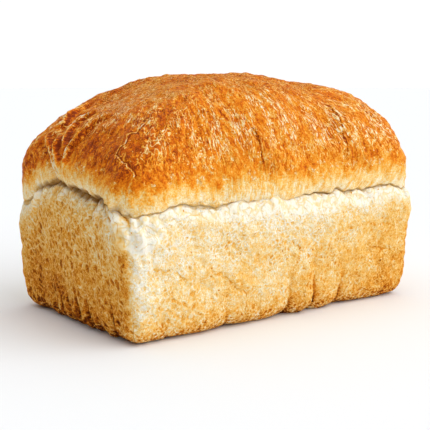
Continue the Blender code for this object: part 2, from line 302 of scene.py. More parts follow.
# The ends' hollows: their size, how far they lean and how they are drawn out. Then the
# size of the crown's wrinkles, and how fibres are drawn out.
HOLLOW_SIZE = 0.0031
HOLLOW_LEAN = 0.445
HOLLOW_SHAPE = (1.0, 1.0, 0.65)
WRINKLE_SIZE = 0.0030
DRAWN_OUT = (1.0, 1.0, 0.50)

# How the crust scatters light, and how rough the body and the crown are.
WALL_ROUGHNESS = 0.85
CROWN_ROUGHNESS = 0.53
CRUST_OPTICS = {
    "IOR": 1.17,
    "Subsurface Weight": 0.20,
    "Subsurface Radius": (0.7, 0.5, 0.35),
    "Subsurface Scale": 0.0020,
}

# The studio: the floor, the light from the horizon and the right, and the key light.
FLOOR_RADIUS = 6.0
FLOOR_COLOUR = (0.845, 0.86, 0.875, 1.0)
HORIZON_STRENGTH = 1.03
RIGHTWARD_STRENGTH = 0.25
KEY_ANGLE = math.radians(70)
KEY_DIRECTION = (-0.40, 0.70, -0.59)

# Settings of the relief that the texture tree takes as inputs, and the longest way to a
# line that is stored for the material, in millimetres.
TEXTURE_SIZES = (
    "hollow_depth", "wrinkle_depth", "grain_spacing", "grain_height", "fibre_spacing",
    "fibre_height",
)
FARTHEST_LINE = 8

# Seed of the pinches and the jagged routes.
SEED = 7


def smooth_step(low, high, value):
    """Rise smoothly from 0 at low to 1 at high."""
    t = np.clip((value - low) / (high - low), 0, 1)
    return t * t * (3 - 2 * t)


def waves(points, wavelength, seed):
    """Give smooth random waves at the points, mostly from -1 to 1."""
    draw = np.random.default_rng(seed)
    ways = draw.normal(size=(WAVE_COUNT, 3))
    ways *= 2 * np.pi / wavelength / np.linalg.norm(ways, axis=1, keepdims=True)
    phases = draw.uniform(0, 2 * np.pi, WAVE_COUNT)
    return np.cos(points @ ways.T + phases).sum(1) * np.sqrt(2 / WAVE_COUNT)


def outline(p, q, half_length, half_width, corner):
    """Give a point of a round-cornered rectangle.

    (p, q) lies on the edge of the square from -1 to 1, and steps along it keep their
    proportion along each side of the rectangle.
    """
    long_side = np.abs(q) >= np.abs(p)
    along = np.where(long_side, p, q)
    half = np.where(long_side, half_length, half_width)
    far = np.where(long_side, half_width, half_length)
    reach = np.abs(along) * (half - corner + corner * np.pi / 4)
    bend = np.clip(reach - (half - corner), 0, None) / corner
    main = np.minimum(reach, half - corner) + corner * np.sin(bend)
    main = np.sign(along) * main
    cross = np.sign(np.where(long_side, q, p)) * (far - corner + corner * np.cos(bend))
    x, y = np.where(long_side, main, cross), np.where(long_side, cross, main)
    return np.stack([x, y], -1)


def turns_at(p, q):
    """Say how far round the loaf (p, q) lies, from 0 to 4, from the near left corner."""
    sides = [q <= -ON_EDGE, p >= ON_EDGE, q >= ON_EDGE]
    places = [(p + 1) / 2, 1 + (q + 1) / 2, 2 + (1 - p) / 2]
    return np.select(sides, places, 3 + (1 - q) / 2)


def break_size(turns, column):
    """Read one of the break's sizes at any place, on a smooth curve that closes."""
    places = np.array([row[0] for row in BREAK])
    sizes = np.array([row[column] for row in BREAK]) * MM
    places = np.concatenate([places - 4, places, places + 4])
    sizes = np.tile(sizes, 3)
    slopes = np.gradient(sizes, places)
    i = np.searchsorted(places, turns, side="right") - 1
    gap = places[i + 1] - places[i]
    t = (turns - places[i]) / gap
    start = (1 + 2 * t) * (1 - t) ** 2 * sizes[i] + t * (1 - t) ** 2 * gap * slopes[i]
    end = t * t * (3 - 2 * t) * sizes[i + 1] + t * t * (t - 1) * gap * slopes[i + 1]
    return start + end


def notch_height(form, p, q):
    """Give the height of the notch's bottom, ragged as dough tears."""
    turns = turns_at(p, q)
    rim = outline(p, q, form.half_length, form.half_width, form.tin_corner)
    rim = np.concatenate([rim, np.zeros_like(rim[..., :1])], -1)
    ragged = sum(size * waves(rim, length, seed) for length, size, seed in RAGGED)
    gap, strength = nearest_pinch(form, turns, PLEATS, 0)
    nick = NICK_DEPTH * strength * np.exp(-np.abs(gap) / NICK_WIDTH)
    return break_size(turns, NOTCH) + ragged - nick


def valley_at(turns):
    """Say how far the dough folded in at the break: 1 most, 0 hardly."""
    start, end = VALLEY
    begun = smooth_step(start - VALLEY_EASE, start, turns)
    return begun * smooth_step(end + VALLEY_EASE, end, turns)


def wall_point(form, p, q, z, notch, inset=0.0):
    """Give a point of the tin's wall at height z, or one that lies inset behind it."""
    turns = turns_at(p, q)
    share = np.clip(z / notch, 0, 1)
    above_swell = z - (notch - SWELL_BELOW_NOTCH)
    swell = break_size(turns, SWELL) * np.exp(-((above_swell / SWELL_REACH) ** 2))
    out = form.belly * np.sin(np.pi * share) - form.taper * (1 - share) + swell - inset
    corner = np.maximum(form.tin_corner + out, form.smallest_corner)
    xy = outline(p, q, form.half_length + out, form.half_width + out, corner)
    return np.concatenate([xy, (z + 0 * out)[..., None]], -1)


def crown_point(form, p, q, scale):
    """Give a point of the crown. Its scale falls from 1 at the lip to 0 at the peak."""
    length, width = form.half_length + form.crown_out, form.half_width + form.crown_out
    xy = outline(p, q, length, width, form.crown_corner)
    angle = np.arctan2(xy[..., 1] / width, xy[..., 0] / length)
    square = scale**form.crown_squareness
    x = ((1 - square) * length * np.cos(angle) + square * xy[..., 0]) * scale
    y = (1 - square) * width * np.sin(angle) + square * xy[..., 1]
    x = x + form.crown_shift * (1 - scale**2)
    y = y * scale**form.crown_squeeze
    rise = (1 - scale**form.crown_fullness) ** (1 / form.crown_sharpness)
    z = form.crown_base + form.crown_rise * rise + form.crown_tilt * x * (1 - scale)
    return np.stack([x, y, z], -1)


def quarter_turn(outer, inner, share, squareness=2.0):
    """Go from outer to inner along a quarter ellipse, or a squarer turn, upright first."""
    angle = share[..., None] * np.pi / 2
    across, down = np.cos(angle) ** (2 / squareness), np.sin(angle) ** (2 / squareness)
    xy = inner[..., :2] + (outer - inner)[..., :2] * across
    z = outer[..., 2:] + (inner - outer)[..., 2:] * down
    return np.concatenate([xy, z], -1)


def flank_scale(form, share, start):
    """Space the flank's rows evenly along its curve, from the lip to the top grid."""
    low = np.arccos(start ** (form.crown_fullness / 2))
    high = np.arccos(TOP_SCALE ** (form.crown_fullness / 2))
    return np.cos(low + share * (high - low)) ** (2 / form.crown_fullness)


def side_point(form, p, q, row):
    """Give the crust's point at a row of the grid, from the foot up to the crown."""
    ends = np.cumsum([0] + [count for _, count in ROWS])
    share = {
        name: np.clip((row - ends[i]) / count, 0, 1)
        for i, (name, count) in enumerate(ROWS)
    }
    turns = turns_at(p, q)
    notch = notch_height(form, p, q)
    shoulder = notch - break_size(turns, SHOULDER)
    lip_top = np.maximum(notch + break_size(turns, LIP), form.crown_base)
    lip_rise = (lip_top - form.crown_base) / form.crown_rise
    lip_scale = (1 - lip_rise**form.crown_sharpness) ** (1 / form.crown_fullness)
    crevice = (np.abs(row - NOTCH_ROW) < 0.5) * (CREVICE_DEPTH + VALLEY_DEPTH * valley_at(turns))
    bottom_of_notch = wall_point(form, p, q, notch, notch, break_size(turns, DEPTH) + crevice)

    foot_angle = share["foot"] * np.pi / 2
    foot_z = form.foot_round * (1 - np.cos(foot_angle))
    foot_inset = form.foot_round * (1 - np.sin(foot_angle))
    wall_z = form.foot_round + share["wall"] * (shoulder - form.foot_round)
    lip_point = crown_point(form, p, q, lip_scale)
    places = (
        wall_point(form, p, q, foot_z, notch, foot_inset),
        wall_point(form, p, q, wall_z, notch),
        quarter_turn(wall_point(form, p, q, shoulder, notch), bottom_of_notch, share["shoulder"]),
        quarter_turn(lip_point, bottom_of_notch, 1 - share["lip"], form.lip_squareness),
        crown_point(form, p, q, flank_scale(form, share["flank"], lip_scale)),
    )
    part = np.clip(np.searchsorted(ends, row, side="left") - 1, 0, len(places) - 1)
    return np.stack(places)[part, np.arange(len(row))]


class Dough:
    """The crust's points, with what the relief and the bake need to know of each."""

    def __init__(self, form, cube):
        ring = np.maximum(np.abs(cube[:, 0]), np.abs(cube[:, 1]))
        centre = ring < 1e-6
        self.p = np.where(centre, 1, cube[:, 0] / np.where(centre, 1, ring))
        self.q = np.where(centre, 0, cube[:, 1] / np.where(centre, 1, ring))
        self.row = (cube[:, 2] + 1) / 2 * ROW_COUNT
        self.on_side = ring > ON_EDGE
        self.on_base = cube[:, 2] < -ON_EDGE
        self.on_top = (cube[:, 2] > ON_EDGE) & ~self.on_side
        self.turns = turns_at(self.p, self.q)
        self.notch = notch_height(form, self.p, self.q)
        side = side_point(form, self.p, self.q, self.row)
        top = crown_point(form, self.p, self.q, TOP_SCALE * ring)
        base = side * [1, 1, 0] * ring[:, None]
        inner_base = self.on_base & ~self.on_side
        self.place = np.where(self.on_top[:, None], top, side)
        self.place = np.where(inner_base[:, None], base, self.place)
        self.crown = (self.row > NOTCH_ROW).astype(float)
        self.above_notch = self.place[:, 2] - self.notch
        self.ring = ring

    def near(self, centre, reach):
        """Give a soft patch, 1 at its centre."""
        offset = (self.place / MM - centre) / reach
        return np.exp(-(offset**2).sum(1))


def read_route(points, normals, route):
    """Measure the points against a route over the crust.

    Gives the distance to it, above zero on its left side, and how fully the route is
    there: 1 beside its middle and 0 past its ends.
    """
    route = np.array(route) * MM
    best = np.full(len(points), np.inf)
    signed = np.zeros(len(points))
    presence = np.zeros(len(points))
    lengths = np.linalg.norm(np.diff(route, axis=0), axis=1)
    starts = np.concatenate([[0], np.cumsum(lengths)])
    for i, (start, end) in enumerate(zip(route[:-1], route[1:])):
        along = (end - start) / lengths[i]
        reach = (points - start) @ along
        offset = points - (start + np.clip(reach, 0, lengths[i])[:, None] * along)
        offset -= OFF_SURFACE * (offset * normals).sum(1, keepdims=True) * normals
        distance = np.linalg.norm(offset, axis=1)
        side = np.sign((np.cross(along, offset) * normals).sum(1))
        nearer = distance < best
        best = np.where(nearer, distance, best)
        signed = np.where(nearer, side * distance, signed)
        from_end = np.minimum(starts[i] + reach, starts[-1] - starts[i] - reach)
        presence = np.where(nearer, smooth_step(*ROUTE_FADE, from_end), presence)
    return signed, presence


def read_routes(points, normals, routes):
    """Measure the points against the nearest of several routes."""
    best, presence = read_route(points, normals, routes[0])
    for route in routes[1:]:
        signed, there = read_route(points, normals, route)
        nearer = np.abs(signed) < np.abs(best)
        best, presence = np.where(nearer, signed, best), np.where(nearer, there, presence)
    return best, presence


def warped(points):
    """Shift the points a little at random, so that routes read from them are jagged."""
    shifts = [waves(points, WARP_LENGTH, SEED + 30 + axis) for axis in range(3)]
    return points + WARP_SIZE * np.stack(shifts, 1)


def slightly_warped(points):
    """Shift the points half as much, so that routes read from them are less jagged."""
    return 0.5 * (warped(points) + points)


def pinches(shown, drawn, seed):
    """Give the shown pinches, and roughly evenly spread ones elsewhere."""
    draw = np.random.default_rng(seed)
    places = list(shown)
    for start, end, count in drawn:
        gap = (end - start) / count
        for i in range(count):
            place = start + gap * (i + draw.uniform(*DRAWN_PLACE))
            places.append((place, draw.uniform(*DRAWN_STRENGTH)))
    return places


def nearest_pinch(form, turns, places, slant):
    """Give the way to the nearest pinch, above zero past it, and its strength."""
    nearest, strength_there = np.full(len(turns), 1.0), np.zeros(len(turns))
    for place, strength in places:
        side_length = 2 * (form.half_length if int(place) % 2 == 0 else form.half_width)
        gap = (turns - place) * side_length + slant
        nearer = np.abs(gap) < np.abs(nearest)
        nearest = np.where(nearer, gap, nearest)
        strength_there = np.where(nearer, strength, strength_there)
    return nearest, strength_there


def round_the_loaf(form, turns):
    """Turn places counted in turns into lengths round the loaf."""
    sides = np.tile([2 * form.half_length, 2 * form.half_width], 3)
    corners = np.concatenate([[0], np.cumsum(sides)])
    return np.interp(np.asarray(turns, float), np.arange(len(corners)), corners)


def arches(form, turns, places, slant):
    """Give the height of the rounded arch between each pinch and the next, in metres."""
    places = sorted(places)
    starts = round_the_loaf(form, [place for place, _ in places])
    strengths = np.array([strength for _, strength in places])
    here = round_the_loaf(form, turns) + slant
    i = np.clip(np.searchsorted(starts, here) - 1, 0, len(starts) - 2)
    width = starts[i + 1] - starts[i]
    share = np.clip((here - starts[i]) / width, 0, 1)
    strength = np.where(share < 0.5, strengths[i], strengths[i + 1])
    arch = np.sqrt(np.clip(1 - (2 * share - 1) ** 2, 0, 1))
    inside = (here > starts[0]) & (here < starts[-1])
    height = strength * np.minimum(width, WIDEST_ARCH) * (arch - ARCH_LEVEL)
    return np.where(inside, height, 0)


LOBES = pinches(FOOT_PINCHES, DRAWN_FOOT_PINCHES, SEED)
PLEATS = pinches(PLEAT_PINCHES, DRAWN_PLEAT_PINCHES, SEED + 1)


def bump_over(distance, width):
    """Rise to 1 at a line and fall off beside it."""
    return np.exp(-((distance / width) ** 2))


def read_lines(form, dough, normals):
    """Measure every point against the lines in the crust: the way to one, how strong."""
    jagged, slightly = warped(dough.place), slightly_warped(dough.place)
    lines = {
        "fold": read_routes(slightly, normals, FOLDS),
        "tear": read_routes(slightly, normals, TEARS),
        "zigzag": read_routes(slightly, normals, (ZIGZAG,)),
        "groove": read_routes(slightly, normals, (CORNER_CREVICE, CORNER_GROOVE)),
        "crack": read_routes(jagged, normals, BREAK_CRACKS + BODY_CRACKS),
    }
    below = -dough.above_notch
    gap, strength = nearest_pinch(form, dough.turns, PLEATS, PLEAT_SLANT * below)
    on_wall = dough.on_side * (1 - dough.crown)
    lines["pleat"] = gap, strength * on_wall * bump_over(below, CORD_SHADE_REACH)
    z = dough.place[:, 2]
    gap, strength = nearest_pinch(form, dough.turns, LOBES, LOBE_SLANT * z)
    lines["lobe"] = gap, strength * on_wall * bump_over(z, LOBE_SHADE_REACH)
    return lines


def line_relief(form, relief, dough, normals, lines):
    """Give how far the folds, tears, cracks, grooves, lobes and cords stand out."""
    distance, there = lines["fold"]
    gutter = bump_over(np.abs(distance) - 1.7 * relief.fold_width, relief.fold_width)
    sunk = 0.5 * gutter + 0.35 * bump_over(distance, 5 * relief.fold_width)
    height = relief.fold_height * there * (bump_over(distance, relief.fold_width) - sunk)
    for route in TEARS:
        distance, there = read_route(slightly_warped(dough.place), normals, route)
        far_side = (distance < 0) * np.exp(distance / TEAR_RUN)
        torn = far_side - 0.35 * bump_over(distance, TEAR_WIDTH)
        height += there * relief.tear_height * torn
    distance, there = lines["zigzag"]
    beside = np.exp(-np.abs(distance) / ZIGZAG_RUN)
    folded = beside - bump_over(distance - ZIGZAG_SHIFT, ZIGZAG_WIDTH)
    height += there * relief.zigzag_height * folded
    distance, there = lines["groove"]
    height -= there * relief.groove_depth * bump_over(distance, GROOVE_WIDTH)
    roll, _ = read_route(dough.place, normals, CORNER_ROLL)
    height += relief.roll_height * bump_over(roll, ROLL_WIDTH)
    distance, there = lines["crack"]
    height -= there * relief.crack_depth * bump_over(distance, CRACK_WIDTH)
    on_wall = dough.on_side * (1 - dough.crown)
    z, below = dough.place[:, 2], -dough.above_notch
    lobes = arches(form, dough.turns, LOBES, LOBE_SLANT * z)
    height += on_wall * relief.lobe_share * bump_over(z, LOBE_REACH) * lobes
    cords = arches(form, dough.turns, PLEATS, PLEAT_SLANT * below)
    return height + on_wall * relief.cord_share * bump_over(below, CORD_REACH) * cords


def add_relief(form, relief, dough, normals, lines):
    """Give how far the crust stands out at each point."""
    place = dough.place
    height = sum(size * waves(place, length, seed) for length, size, seed in WAVES)
    near_break = (1 - dough.crown) * bump_over(dough.above_notch, BREAK_REACH)
    bare = np.maximum(LUMPS_IN_PATCH * dough.near(*FLUFFY_PATCH), LUMPS_AT_BREAK * near_break)
    lumps = sum(size * np.abs(waves(place, length, seed)) for length, size, seed in LUMPS)
    height += bare * relief.lump_height * (lumps - LUMP_LEVEL)
    length, size, seed = DIMPLES
    height += size * waves(place, length, seed)
    height *= np.clip(place[:, 2] / FOOT_STILL_HEIGHT, 0, 1)
    height += line_relief(form, relief, dough, normals, lines)
    height -= relief.shoulder_sink * dough.near(*LEFT_SHOULDER)
    rows_from_notch = np.abs(dough.row - NOTCH_ROW)
    still = np.clip((rows_from_notch - 1) / NOTCH_STILL_ROWS, 0, 1)
    return height * still


def flow_coordinates(form, dough):
    """Give coordinates that run with the stretched dough, for streaks and fibres.

    On the crown the third one runs down the slope, fanning out from the middle, and on
    the wall it runs up the wall. It is shortened, so that what is drawn in it is long.
    """
    x, y, z = dough.place.T
    ridge = np.clip(x, *FAN)
    out = np.stack([x - ridge, y], 1)
    radius = np.linalg.norm(out, axis=1) + 1e-9
    out /= radius[:, None]
    reach = np.minimum(radius, FAN_REACH * (1 + np.maximum(out[:, 0], 0) ** 2))
    down = (radius - z) / STRETCH
    on_crown = np.stack([ridge + out[:, 0] * reach, out[:, 1] * reach, down], 1)
    on_wall = dough.place * [1, 1, 1 / STRETCH]
    return np.where(dough.crown[:, None] > 0.5, on_crown, on_wall)


def add_bake_and_painted_light(form, dough):
    """Give what the bake and some painted light add at each point to the levels by height."""
    x = dough.place[:, 0]
    left_end = (dough.p < 0) * smooth_step(-0.02, 0.10, np.abs(dough.p) - np.abs(dough.q))
    leftward = smooth_step(form.half_length - 0.016, form.half_length - 0.004, -x)
    rightward = MORE_BAKE_AND_PAINTED_LIGHT["right half"] * smooth_step(-0.03, 0.05, x)
    rightward += MORE_BAKE_AND_PAINTED_LIGHT["right end"] * smooth_step(0.055, 0.105, x)
    above = dough.above_notch
    wall = MORE_BAKE_AND_PAINTED_LIGHT["left wall"] * left_end + rightward
    # The left end's share also paints warm bounce light into its shade, near the break too.
    wall = wall * smooth_step(0.003, 0.013, -above) + MORE_BAKE_AND_PAINTED_LIGHT["left end"] * left_end
    crown = MORE_BAKE_AND_PAINTED_LIGHT["left crown"] * smooth_step(0.040, 0.100, -x)
    crown *= smooth_step(0.004, 0.020, above)
    crown += MORE_BAKE_AND_PAINTED_LIGHT["left rim"] * leftward * smooth_step(0.008, 0.020, above)
    bake = np.where(dough.crown > 0.5, crown, wall)
    for centre, reach, amount in BAKE_AND_PAINTED_LIGHT_PATCHES:
        bake += amount * dough.near(centre, reach)
    off_corner = np.abs(np.abs(dough.p) - np.abs(dough.q))
    far = (dough.turns >= 0.5) & (dough.turns <= 3.5)
    edge = bump_over(off_corner, 0.06) * smooth_step(0.014, 0.026, -above) * dough.on_side
    bake += np.where(dough.crown > 0.5, 0, MORE_BAKE_AND_PAINTED_LIGHT["far edges"] * far * edge)
    return bake + MORE_BAKE_AND_PAINTED_LIGHT["base"] * dough.on_base


class Tree:
    """A node tree being built. An input may be a value or another node's socket."""

    def __init__(self, tree):
        self.tree = tree

    def add(self, kind, inputs=None, **settings):
        """Add a node, set its settings and fill its inputs by name or number."""
        node = self.tree.nodes.new(kind)
        for name, value in settings.items():
            setattr(node, name, value)
        for key, value in (inputs or {}).items():
            self.plug(node.inputs[key], value)
        return node

    def plug(self, socket, value):
        """Link a socket to an input, or set its value."""
        if isinstance(value, bpy.types.NodeSocket):
            self.tree.links.new(value, socket)
        else:
            socket.default_value = value

    def math(self, operation, *values, clamp=False):
        """Work out one number from others."""
        inputs = dict(enumerate(values))
        return self.add("ShaderNodeMath", inputs, operation=operation, use_clamp=clamp).outputs[0]

    def larger(self, first, second):
        """Give the larger of two values."""
        return self.math("MAXIMUM", first, second)

    def vector(self, operation, *values):
        """Work out a vector from others."""
        node = self.add("ShaderNodeVectorMath", dict(enumerate(values)), operation=operation)
        return node.outputs["Vector"]

    def scaled(self, vector, size):
        """Divide a vector by a size, a number or one for each axis."""
        if not isinstance(size, tuple):
            size = (size, size, size)
        return self.vector("DIVIDE", vector, size)

    def spread(self, value, low, high):
        """Map low to 0 and high to 1, smoothly and no further."""
        inputs = {"Value": value, "From Min": low, "From Max": high}
        node = self.add("ShaderNodeMapRange", inputs, interpolation_type="SMOOTHSTEP")
        return node.outputs["Result"]

    def noise(self, vector, size, detail=2.0, roughness=0.5, distortion=0.0):
        """Give noise about 0.5 with features of this size."""
        inputs = {
            "Vector": self.scaled(vector, size),
            "Scale": 1.0,
            "Detail": detail,
            "Roughness": roughness,
            "Distortion": distortion,
        }
        return self.add("ShaderNodeTexNoise", inputs).outputs[0]

    def off(self, *arguments):
        """Give noise about 0."""
        return self.math("SUBTRACT", self.noise(*arguments), 0.5)

    def cells(self, vector, size, feature="F1"):
        """Give the distance in random cells, and a random number for each cell."""
        inputs = {"Vector": self.scaled(vector, size), "Scale": 1.0, "Randomness": 1.0}
        node = self.add("ShaderNodeTexVoronoi", inputs, feature=feature)
        if feature != "F1":
            return node.outputs["Distance"], None
        red = self.add("ShaderNodeSeparateXYZ", {0: node.outputs["Color"]}).outputs[0]
        return node.outputs["Distance"], red

    def pores(self, vector, size, smallest, largest):
        """Give pores: 1 deep in one, 0 on the skin between them, each of its own width."""
        distance, draw = self.cells(vector, size)
        radius = self.math("MULTIPLY_ADD", draw, largest - smallest, smallest)
        share = self.math("DIVIDE", self.math("SUBTRACT", radius, distance), largest)
        return self.spread(share, 0.0, 0.45)

    def ridges(self, vector, size, detail=2.0, distortion=0.0, low=0.93, high=0.985):
        """Give thin wandering lines, 1 on a line and 0 away from it."""
        noise = self.noise(vector, size, detail, 0.5, distortion)
        away = self.math("ABSOLUTE", self.math("MULTIPLY_ADD", noise, 2.0, -1.0))
        return self.spread(self.math("SUBTRACT", 1.0, away), low, high)

    def total(self, first, *terms):
        """Add up terms, each a value and how much it counts."""
        for value, weight in terms:
            first = self.math("MULTIPLY_ADD", value, weight, first)
        return first

    def product(self, first, *others):
        """Multiply values."""
        for value in others:
            first = self.math("MULTIPLY", first, value)
        return first

    def mix(self, share, low, high):
        """Go from low to high by a share."""
        return self.add("ShaderNodeMix", {0: share, 2: low, 3: high}).outputs[0]

    def mix_colour(self, share, low, high):
        """Go from one colour to another by a share."""
        return self.add("ShaderNodeMix", {0: share, 6: low, 7: high}, data_type="RGBA").outputs[2]

    def warp(self, vector, size, amount):
        """Shift a vector at random."""
        inputs = {"Vector": self.scaled(vector, size), "Scale": 1.0, "Detail": 1.0}
        noise = self.add("ShaderNodeTexNoise", inputs).outputs["Color"]
        shift = self.vector("SUBTRACT", noise, (0.5, 0.5, 0.5))
        scaled = self.vector("MULTIPLY", shift, (amount, amount, amount))
        return self.vector("ADD", vector, scaled)


def wrinkles(build, place, flow):
    """Give the wrinkles that run down the crown, in patches."""
    drawn = build.vector("MULTIPLY", flow, DRAWN_OUT)
    lines = build.ridges(drawn, WRINKLE_SIZE, 1.0, 0.2, 0.88, 0.99)
    return build.product(lines, build.spread(build.noise(place, 0.022, 1.0), 0.42, 0.60))


def hollows(build, place):
    """Give the hollows of the end walls, drawn out down and to one side, and their rims."""
    inputs = {"Vector": place, "Angle": HOLLOW_LEAN}
    leaning = build.add("ShaderNodeVectorRotate", inputs, rotation_type="X_AXIS")
    drawn = build.vector("MULTIPLY", leaning.outputs[0], HOLLOW_SHAPE)
    drawn = build.warp(drawn, 0.0035, 0.0022)
    edge, _ = build.cells(drawn, HOLLOW_SIZE, "DISTANCE_TO_EDGE")
    _, draw = build.cells(drawn, HOLLOW_SIZE)
    hollow = build.product(build.spread(edge, 0.10, 0.34), build.spread(draw, 0.1, 0.9))
    return hollow, build.spread(edge, 0.14, 0.02)


def label_of(name):
    """Give the label of a setting."""
    return name.replace("_", " ").title()


def new_geometry_tree(name, sockets):
    """Start a Geometry Nodes tree with named inputs and one geometry output."""
    tree = bpy.data.node_groups.new(name, "GeometryNodeTree")
    tree.interface.new_socket("Geometry", in_out="OUTPUT", socket_type="NodeSocketGeometry")
    for label, kind in sockets:
        tree.interface.new_socket(label, in_out="INPUT", socket_type=kind)
    return tree


def apply_tree(piece, tree, values):
    """Run a Geometry Nodes tree on a piece and keep its result as plain mesh."""
    modifier = piece.modifiers.new(tree.name, "NODES")
    modifier.node_group = tree
    for item in tree.interface.items_tree:
        if item.in_out == "INPUT" and item.name in values:
            modifier[item.identifier] = values[item.name]
    evaluated = piece.evaluated_get(bpy.context.evaluated_depsgraph_get())
    mesh = bpy.data.meshes.new_from_object(evaluated)
    piece.modifiers.remove(modifier)
    piece.data = mesh


def cut_cube_tree():
    """Build the tree that makes the cut-up cube."""
    tree = new_geometry_tree("Cut Cube", [(label, "NodeSocketInt") for label in CUBE_COUNTS])
    build = Tree(tree)
    given = build.add("NodeGroupInput").outputs
    inputs = {"Size": (2.0, 2.0, 2.0)}
    for axis, label in zip("XYZ", CUBE_COUNTS):
        inputs[f"Vertices {axis}"] = build.math("ADD", given[label], 1)
    cube = build.add("GeometryNodeMeshCube", inputs)
    real = build.add("GeometryNodeRealizeInstances", {"Geometry": cube.outputs["Mesh"]})
    build.add("NodeGroupOutput", {"Geometry": real.outputs["Geometry"]})
    return tree


def crust_texture_tree():
    """Build the tree that raises wrinkles and fibres and sinks hollows into the crust."""
    sizes = [(label_of(name), "NodeSocketFloat") for name in TEXTURE_SIZES]
    sockets = [("Geometry", "NodeSocketGeometry"), *sizes, ("Material", "NodeSocketMaterial")]
    tree = new_geometry_tree("Crust Texture", sockets)
    build = Tree(tree)
    given = build.add("NodeGroupInput").outputs

    def attribute(name, kind="FLOAT"):
        node = build.add("GeometryNodeInputNamedAttribute", {"Name": name}, data_type=kind)
        return node.outputs["Attribute"]

    def off_at(vector, size):
        sizes = build.add("ShaderNodeCombineXYZ", {0: size, 1: size, 2: size}).outputs[0]
        inputs = {"Vector": build.vector("DIVIDE", vector, sizes), "Scale": 1.0, "Detail": 2.0}
        return build.math("SUBTRACT", build.add("ShaderNodeTexNoise", inputs).outputs[0], 0.5)

    place, flow = attribute("place", "FLOAT_VECTOR"), attribute("flow", "FLOAT_VECTOR")
    above, crown = attribute("above"), attribute("crown")
    wall = build.math("SUBTRACT", 1.0, crown)
    near_break = build.spread(above, -20.0, -8.0)
    covered = build.math("SUBTRACT", 1.0, near_break)
    hollow, _ = hollows(build, place)
    hollow = build.product(hollow, attribute("coarse"), covered)
    out = build.product(hollow, given["Hollow Depth"], -1.0)
    baked = build.spread(above, 8.0, 18.0)
    wrinkle = build.product(wrinkles(build, place, flow), crown, baked, given["Wrinkle Depth"])
    out = build.math("SUBTRACT", out, wrinkle)
    grain = build.product(off_at(flow, given["Grain Spacing"]), given["Grain Height"])
    out = build.math("ADD", out, grain)
    fibre = off_at(flow, given["Fibre Spacing"])
    fibre = build.product(fibre, near_break, wall, given["Fibre Height"])
    out = build.math("ADD", out, fibre)
    above_base = build.add("ShaderNodeSeparateXYZ", {0: place}).outputs[2]
    off_break = build.spread(build.math("ABSOLUTE", above), 0.2, 1.5)
    out = build.product(out, build.spread(above_base, 0.0, 0.004), off_break)
    normal = build.add("GeometryNodeInputNormal").outputs[0]
    shift = build.add("ShaderNodeVectorMath", {0: normal, "Scale": out}, operation="SCALE")
    inputs = {"Geometry": given["Geometry"], "Offset": shift.outputs[0]}
    moved = build.add("GeometryNodeSetPosition", inputs)
    real = build.add("GeometryNodeRealizeInstances", {"Geometry": moved.outputs[0]})
    inputs = {"Geometry": real.outputs[0], "Material": given["Material"]}
    done = build.add("GeometryNodeSetMaterial", inputs)
    build.add("NodeGroupOutput", {"Geometry": done.outputs[0]})
    return tree


def colour_ramp(build, value, stops):
    """Turn a value into colour by a row of stops."""
    node = build.add("ShaderNodeValToRGB", {"Fac": value})
    ramp = node.color_ramp
    while len(ramp.elements) < len(stops):
        ramp.elements.new(0.5)
    for element, (place, colour) in zip(ramp.elements, stops):
        element.position = place
        element.color = (*colour, 1.0)
    return node.outputs["Color"]


def bake_ramp(build, level, bake):
    """Turn a bake level from 0 to 1 into colour by evenly spread stops."""
    last = len(bake) - 1
    return colour_ramp(build, level, [(i / last, stop.colour) for i, stop in enumerate(bake)])


def profile(build, value, stations):
    """Read a curve of millimetres and level at a value."""
    reach = stations[-1][0]
    stops = [(place / reach, (level,) * 3) for place, level in stations]
    return colour_ramp(build, build.math("DIVIDE", value, reach), stops)


